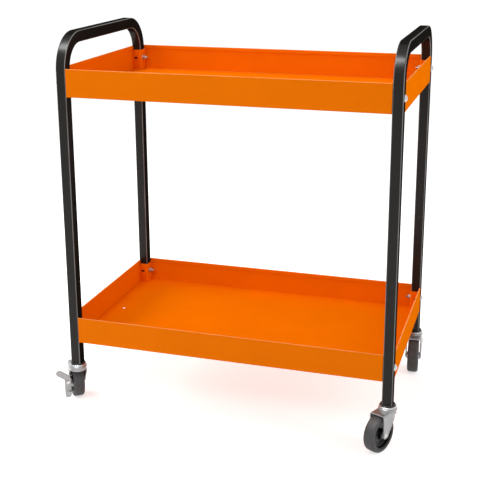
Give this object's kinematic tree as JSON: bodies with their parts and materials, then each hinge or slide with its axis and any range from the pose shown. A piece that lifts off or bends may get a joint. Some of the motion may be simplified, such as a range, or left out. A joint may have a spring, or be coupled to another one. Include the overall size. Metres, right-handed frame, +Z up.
{
  "type": "tool cart",
  "caption": "Rolling tool cart: folded sheet trays bolted between upside-down U tube frames whose tops are push bars, on swivel castors with brakes at one end.",
  "frame": {"origin": "on the floor under the middle of the whole cart's box, castors included", "axes": "+X along the length to the right end, -Y to the front, +Z up"},
  "size_m": [0.7826, 0.5407, 0.839],
  "materials": {
    "frame_paint": "semi-gloss black powder coat",
    "tray_paint": "semi-gloss orange powder coat",
    "zinc_plate": "bright zinc plate",
    "black_plastic": "moulded, fine grain",
    "grey_rubber": "matte grey rubber"
  },
  "bodies": {
    "cart": {"left_frame": "frame_paint", "right_frame": "frame_paint", "upper_tray": "tray_paint", "lower_tray": "tray_paint", "tray_bolts": "zinc_plate", "tray_washers": "zinc_plate", "tray_nuts": "zinc_plate", "front_left_leg_plug": "black_plastic", "front_left_stem": "zinc_plate", "front_left_race_cup": "zinc_plate", "front_right_leg_plug": "black_plastic", "front_right_stem": "zinc_plate", "front_right_race_cup": "zinc_plate", "back_left_leg_plug": "black_plastic", "back_left_stem": "zinc_plate", "back_left_race_cup": "zinc_plate", "back_right_leg_plug": "black_plastic", "back_right_stem": "zinc_plate", "back_right_race_cup": "zinc_plate"},
    "front_left_castor": {"front_left_fork": "zinc_plate", "front_left_balls": "zinc_plate", "front_left_axle_rivet": "zinc_plate", "front_left_axle_sleeve": "zinc_plate", "front_left_hub_spacers": "zinc_plate", "front_left_brake_bracket": "zinc_plate", "front_left_brake_rivet": "zinc_plate"},
    "front_left_wheel": {"front_left_wheel_core": "black_plastic", "front_left_tyre": "grey_rubber"},
    "front_left_brake": {"front_left_brake_lever": "zinc_plate"},
    "front_right_castor": {"front_right_fork": "zinc_plate", "front_right_balls": "zinc_plate", "front_right_axle_rivet": "zinc_plate", "front_right_axle_sleeve": "zinc_plate", "front_right_hub_spacers": "zinc_plate"},
    "front_right_wheel": {"front_right_wheel_core": "black_plastic", "front_right_tyre": "grey_rubber"},
    "back_left_castor": {"back_left_fork": "zinc_plate", "back_left_balls": "zinc_plate", "back_left_axle_rivet": "zinc_plate", "back_left_axle_sleeve": "zinc_plate", "back_left_hub_spacers": "zinc_plate", "back_left_brake_bracket": "zinc_plate", "back_left_brake_rivet": "zinc_plate"},
    "back_left_wheel": {"back_left_wheel_core": "black_plastic", "back_left_tyre": "grey_rubber"},
    "back_left_brake": {"back_left_brake_lever": "zinc_plate"},
    "back_right_castor": {"back_right_fork": "zinc_plate", "back_right_balls": "zinc_plate", "back_right_axle_rivet": "zinc_plate", "back_right_axle_sleeve": "zinc_plate", "back_right_hub_spacers": "zinc_plate"},
    "back_right_wheel": {"back_right_wheel_core": "black_plastic", "back_right_tyre": "grey_rubber"}
  },
  "joints": [
    {"name": "front_left_swivel", "type": "hinge", "parent": "cart", "child": "front_left_castor", "pos_m": [-0.34123, -0.20328, 0.085], "axis": [0, 0, 1], "continuous": true},
    {"name": "front_left_wheel_spin", "type": "hinge", "parent": "front_left_castor", "child": "front_left_wheel", "pos_m": [-0.35928, -0.17932, 0.04], "axis": [0.7986, 0.6018, 0], "continuous": true},
    {"name": "front_left_brake_press", "type": "hinge", "parent": "front_left_castor", "child": "front_left_brake", "pos_m": [-0.3637, -0.21458, 0.046], "axis": [0.6018, -0.7986, 0], "range_deg": [0, 8]},
    {"name": "front_right_swivel", "type": "hinge", "parent": "cart", "child": "front_right_castor", "pos_m": [0.36677, -0.20328, 0.085], "axis": [0, 0, 1], "continuous": true},
    {"name": "front_right_wheel_spin", "type": "hinge", "parent": "front_right_castor", "child": "front_right_wheel", "pos_m": [0.35409, -0.23047, 0.04], "axis": [-0.9063, 0.4226, 0], "continuous": true},
    {"name": "back_left_swivel", "type": "hinge", "parent": "cart", "child": "back_left_castor", "pos_m": [-0.34123, 0.20172, 0.085], "axis": [0, 0, 1], "continuous": true},
    {"name": "back_left_wheel_spin", "type": "hinge", "parent": "back_left_castor", "child": "back_left_wheel", "pos_m": [-0.35149, 0.22991, 0.04], "axis": [0.9397, 0.342, 0], "continuous": true},
    {"name": "back_left_brake_press", "type": "hinge", "parent": "back_left_castor", "child": "back_left_brake", "pos_m": [-0.36603, 0.19748, 0.046], "axis": [0.342, -0.9397, 0], "range_deg": [0, 8]},
    {"name": "back_right_swivel", "type": "hinge", "parent": "cart", "child": "back_right_castor", "pos_m": [0.36677, 0.20172, 0.085], "axis": [0, 0, 1], "continuous": true},
    {"name": "back_right_wheel_spin", "type": "hinge", "parent": "back_right_castor", "child": "back_right_wheel", "pos_m": [0.36939, 0.17183, 0.04], "axis": [-0.9962, -0.0872, 0], "continuous": true}
  ]
}
